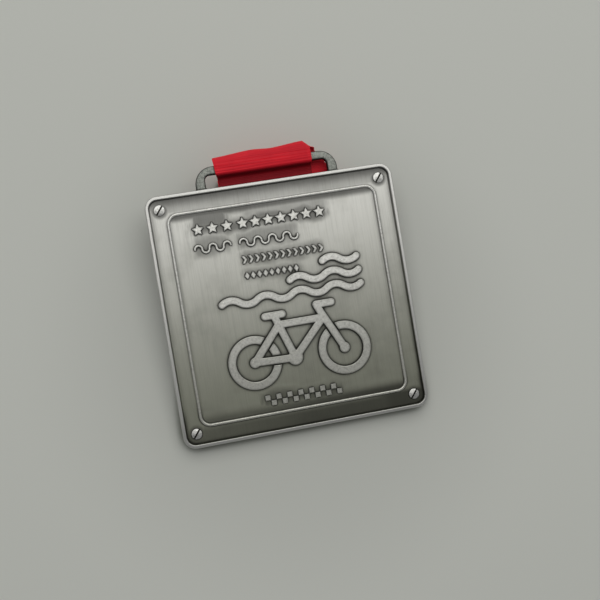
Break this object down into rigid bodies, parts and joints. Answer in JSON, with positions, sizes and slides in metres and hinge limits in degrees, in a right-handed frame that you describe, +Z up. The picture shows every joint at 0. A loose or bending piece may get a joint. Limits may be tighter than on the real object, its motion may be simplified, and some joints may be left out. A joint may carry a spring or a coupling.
{
  "type": "sports finisher medal",
  "caption": "Square antique-silver finisher medal with raised rim and relief, a ribbon loop on its top edge and a red neck ribbon folded under it.",
  "frame": {"origin": "middle of the footprint, on the surface that the medal lies on", "axes": "+Z up, away from that surface; +Y towards the ribbon loop; +X to the right as the front is seen"},
  "size_m": [0.065, 0.0724, 0.0143],
  "materials": {
    "antique_silver": "satin",
    "cast_loop": "matte",
    "screw_metal": "satin",
    "red_ribbon": "satin",
    "red_thread": "matte"
  },
  "bodies": {
    "medal": {"medal_plate": "antique_silver", "inner_border": "antique_silver", "star_row": "antique_silver", "wave_line": "antique_silver", "chevron_row": "antique_silver", "lozenge_row": "antique_silver", "rear_wheel": "antique_silver", "front_wheel": "antique_silver", "bicycle_frame": "antique_silver", "swim_waves": "antique_silver", "finish_band": "antique_silver", "ribbon_loop": "cast_loop", "loop_solder": "cast_loop", "corner_screws": "screw_metal"},
    "turn": {"ribbon_turn": "red_ribbon"},
    "folded_ribbon": {"ribbon_stack": "red_ribbon", "ribbon_seam": "red_thread"}
  },
  "joints": [
    {"name": "ribbon_shift", "type": "slide", "parent": "medal", "child": "turn", "axis": [1, 0, 0], "range_m": [-0.002, 0.0008]},
    {"name": "ribbon_swing", "type": "hinge", "parent": "turn", "child": "folded_ribbon", "pos_m": [0, 0.03311, 0.01125], "axis": [1, 0, 0], "range_deg": [0, 240]}
  ]
}
